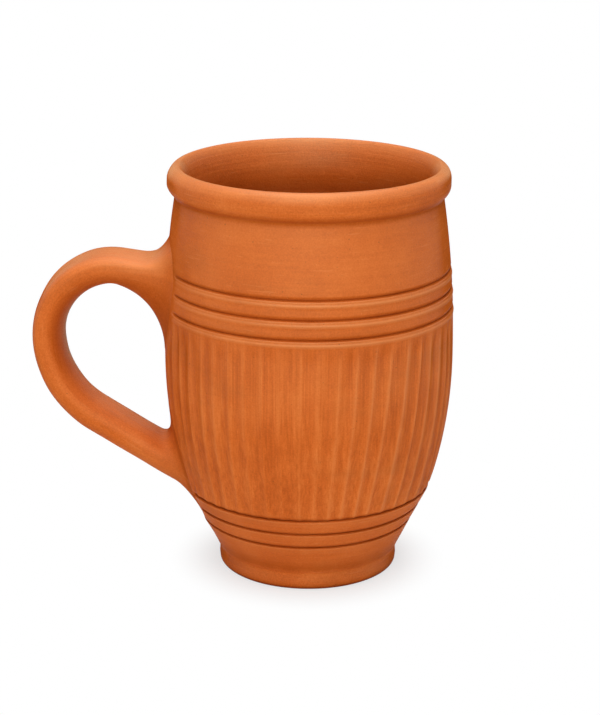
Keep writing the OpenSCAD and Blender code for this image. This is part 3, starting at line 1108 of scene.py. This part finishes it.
def polish_clay(clay, layers, finish):
    """Faces that look up are rubbed by hands and cloth, and shine more than the sides and the hollows."""
    uneven = clay.math("ADD", layers.grain, layers.streak)
    clay.give("Roughness", clay.ease(uneven, 0.7, 1.3, finish.rough - 0.07, finish.rough + 0.07))

    upward = clay.upward()
    inner = clay.attribute("inner")
    rubbed = clay.line(clay.attribute("cavity"), 0.0, 0.4, 1.0, 0.05)
    gloss = clay.times(clay.line(upward, -0.1, 0.35, 0.1, finish.gloss), rubbed)
    gloss = clay.times(gloss, clay.ease(clay.facing(), *finish.gloss_fade, 1.0, 0.0))
    gloss = clay.add_share(INNER_GLOSS, inner, gloss)
    gloss = clay.add_share(finish.under_gloss, clay.ease(upward, 0.05, -0.2), gloss)
    clay.give("Specular IOR Level", gloss)
    clay.give("Specular Tint", GLOSS_TINT)

    start, stop, rest = finish.sheen_fade
    sheen = clay.times(clay.line(upward, finish.sheen_from, 0.95, 0.02, finish.sheen), rubbed)
    sheen = clay.times(sheen, clay.ease(clay.facing(), start, stop, 1.0, rest))
    clay.give("Sheen Weight", clay.add_share(INNER_SHEEN, inner, sheen))
    clay.give("Sheen Roughness", 0.35)
    clay.give("Sheen Tint", SHEEN_TINT)


def roughen_clay(clay, layers, grit):
    """Fine relief of grain, streaks and pits."""
    relief = clay.sum((layers.grain, grit), (layers.streak, 0.2), (layers.mottle, 0.3))
    relief = clay.math("SUBTRACT", relief, clay.times(layers.pits, 0.06))
    clay.give("Normal", clay.socket("Bump", {"Height": relief, "Strength": 0.6, "Distance": MM}))


def make_clay(name, finish):
    """Unglazed fired clay."""
    clay = Clay(name)
    layers = Layers(clay, finish.streaks)
    colour_clay(clay, layers)
    polish_clay(clay, layers, finish)
    roughen_clay(clay, layers, finish.grit)
    return clay.material


# Pieces

wall_clay = make_clay("terracotta_wall", WALL_FINISH)
rim_clay = make_clay("terracotta_rim", RIM_FINISH)
strap_clay = make_clay("terracotta_strap", STRAP_FINISH)
foot_clay = make_clay("terracotta_foot", FOOT_FINISH)

handle, upper_slip, lower_slip = make_handle(strap_clay)
pieces = (
    (make_wall(wall_clay), "cup_wall", "terracotta"),
    (make_rim(rim_clay), "rim_bead", "smoothed_clay"),
    (make_foot(foot_clay), "foot_ring", "terracotta"),
    (make_floor(foot_clay), "floor_disc", "terracotta"),
    (handle, "handle", "smoothed_clay"),
    (upper_slip, "upper_slip", "slip_clay"),
    (lower_slip, "lower_slip", "slip_clay"),
)
for piece, node_name, slot_name in pieces:
    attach(piece, "root")
    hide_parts(node_name)


# Camera, fitted to the photograph's rim, grooves and foot

PHOTO_W = 600
FOCAL_PX = 2033
SENSOR = 36
CAMERA_AT = np.array([-2.36, -519.9, 219.7])
PITCH = math.radians(17.362)
ROLL = math.radians(0.30)


def make_camera():
    """The camera, level apart from its pitch and a slight roll."""
    data = bpy.data.cameras.new("camera")
    data.sensor_fit = "HORIZONTAL"
    data.sensor_width = SENSOR
    data.lens = FOCAL_PX / PHOTO_W * SENSOR
    ahead = np.array([0, math.cos(PITCH), -math.sin(PITCH)])
    up = np.array([0, math.sin(PITCH), math.cos(PITCH)])
    right = np.array([1.0, 0, 0])
    rolled_right = math.cos(ROLL) * right + math.sin(ROLL) * up
    rolled_up = math.cos(ROLL) * up - math.sin(ROLL) * right
    turn = Matrix(np.stack([rolled_right, rolled_up, -ahead], axis=1).tolist())
    camera = bpy.data.objects.new("camera", data)
    bpy.context.scene.collection.objects.link(camera)
    camera.matrix_world = Matrix.Translation(Vector(CAMERA_AT * MM)) @ turn.to_4x4()
    bpy.context.scene.camera = camera


# Stage and light, in metres

WHITE = (1, 1, 1, 1)
FLOOR_HALF = 4.0
FLOOR_WHITE = 0.8
# Share of plain white in what is seen of the floor near the cup, and where that turns to full white
NEAR_WHITE = 0.67
NEAR_R = 0.022
FAR_R = 0.039
# Light from the surroundings: at the horizon, and from this height of the sky up
WORLD_LOW, WORLD_HIGH = 0.02, 0.2
SKY_FROM = 0.7
LAMP_AIM = Vector((0, 0, 0.06))


def seen_or_mirrored(tree):
    """1 for rays from the camera, from a gloss or through glass, 0 for light that bounces."""
    path = add_node(tree, "LightPath")
    seen = path.outputs["Is Camera Ray"]
    for name in ("Is Glossy Ray", "Is Transmission Ray"):
        seen = add_socket(tree, "Math", {0: seen, 1: path.outputs[name]}, operation="MAXIMUM")
    return seen


def make_floor_material():
    """White to the camera, with a part of the object's shadow near the cup."""
    material = bpy.data.materials.new("floor_white")
    material.use_nodes = True
    tree = material.node_tree
    tree.nodes.clear()
    place = add_socket(tree, "TexCoord", output="Object")
    away = add_socket(tree, "VectorMath", {0: place}, "Value", operation="LENGTH")
    white = add_range(tree, away, NEAR_R, FAR_R, NEAR_WHITE, 1.0, interpolation_type="SMOOTHSTEP")
    share = add_socket(tree, "Math", {0: seen_or_mirrored(tree), 1: white}, operation="MULTIPLY")
    matt = add_socket(tree, "BsdfDiffuse", {"Color": (FLOOR_WHITE, FLOOR_WHITE, FLOOR_WHITE, 1)})
    plain = add_socket(tree, "Emission", {"Color": WHITE, "Strength": 1.0})
    mixed = add_socket(tree, "MixShader", {0: share, 1: matt, 2: plain})
    add_node(tree, "OutputMaterial", {"Surface": mixed})
    return material


def make_stage_floor():
    """A wide pale floor."""
    corners = [(x * FLOOR_HALF, y * FLOOR_HALF, 0) for x, y in ((-1, -1), (1, -1), (1, 1), (-1, 1))]
    mesh = bpy.data.meshes.new("floor")
    mesh.from_pydata(corners, [], [(0, 1, 2, 3)])
    mesh.materials.append(make_floor_material())
    floor = bpy.data.objects.new("floor", mesh)
    bpy.context.scene.collection.objects.link(floor)


def make_world():
    """White surroundings that give more light from above, full white where they are seen or mirrored."""
    world = bpy.data.worlds.new("studio")
    bpy.context.scene.world = world
    world.use_nodes = True
    tree = world.node_tree
    way = add_socket(tree, "TexCoord", output="Generated")
    up = add_socket(tree, "SeparateXYZ", {0: way}, 2)
    light = add_range(tree, up, 0.0, SKY_FROM, WORLD_LOW, WORLD_HIGH)
    strength = add_range(tree, seen_or_mirrored(tree), 0.0, 1.0, light, 1.0)
    background = tree.nodes["Background"]
    background.inputs["Color"].default_value = WHITE
    tree.links.new(strength, background.inputs["Strength"])


def make_lamp(name, place, size, power):
    """A rectangular softbox that looks at the cup."""
    data = bpy.data.lights.new(name, "AREA")
    data.shape = "RECTANGLE"
    data.size, data.size_y = size
    data.energy = power
    lamp = bpy.data.objects.new(name, data)
    lamp.location = place
    lamp.rotation_euler = (LAMP_AIM - Vector(place)).to_track_quat("-Z", "Y").to_euler()
    bpy.context.scene.collection.objects.link(lamp)


make_camera()
make_stage_floor()
make_world()
make_lamp("top_softbox", place=(0.0, -0.12, 1.1), size=(0.8, 2.2), power=17.4)
make_lamp("front_softbox", place=(-0.18, -1.3, 0.35), size=(0.7, 0.7), power=4.9)

bpy.context.scene.view_settings.view_transform = "Standard"
